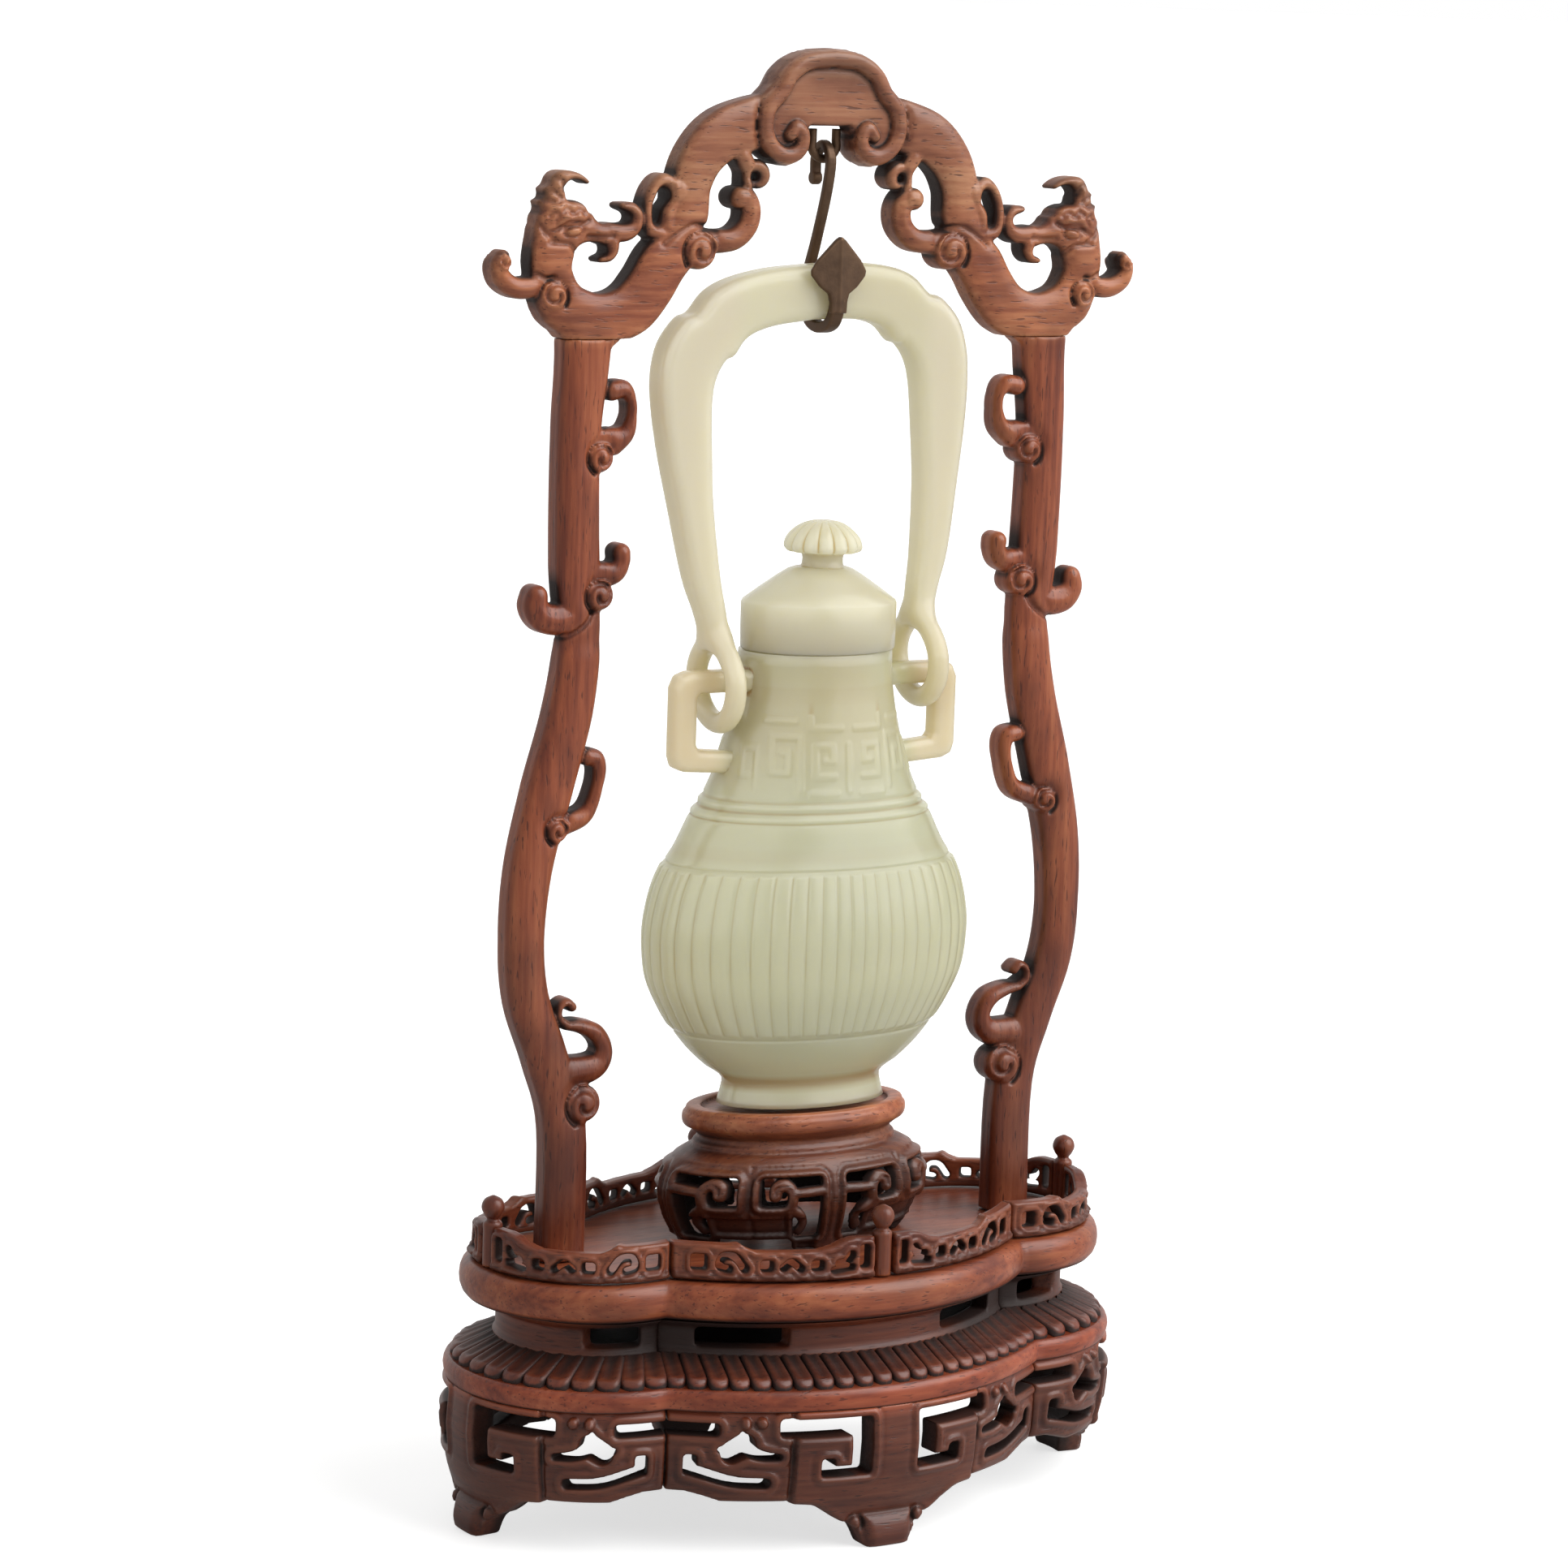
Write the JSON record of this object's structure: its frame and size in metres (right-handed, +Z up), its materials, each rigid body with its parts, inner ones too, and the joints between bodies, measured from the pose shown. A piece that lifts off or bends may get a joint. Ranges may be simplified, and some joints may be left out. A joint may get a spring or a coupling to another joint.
{
  "type": "jade carving",
  "caption": "Covered oval jade vase with ribbed body, linked bail handle and squared lugs, hung from a bronze hook on a carved, pierced rosewood stand with a lobed base",
  "frame": {"origin": "on the floor under the middle of the lobed base", "axes": "+Z up, +X to the right along the stand, -Y to the front"},
  "size_m": [0.125, 0.076, 0.2467],
  "materials": {
    "rosewood": "satin",
    "jade": "polished",
    "bronze": "satin"
  },
  "bodies": {
    "root": {"apron_right": "rosewood", "apron_back": "rosewood", "apron_left": "rosewood", "apron_front": "rosewood", "plinth_cap": "rosewood", "waist": "rosewood", "tray": "rosewood", "gallery_right_a": "rosewood", "gallery_right_b": "rosewood", "gallery_back_a": "rosewood", "gallery_back_b": "rosewood", "gallery_left_a": "rosewood", "gallery_left_b": "rosewood", "gallery_front_a": "rosewood", "gallery_front_b": "rosewood", "gallery_post_right": "rosewood", "gallery_post_back": "rosewood", "gallery_post_left": "rosewood", "gallery_post_front": "rosewood", "upright_right": "rosewood", "upright_left": "rosewood", "crest": "rosewood", "vase_stand": "rosewood", "vase": "jade", "cover": "jade", "bail": "jade", "hook": "bronze", "staple": "bronze"}
  },
  "joints": []
}
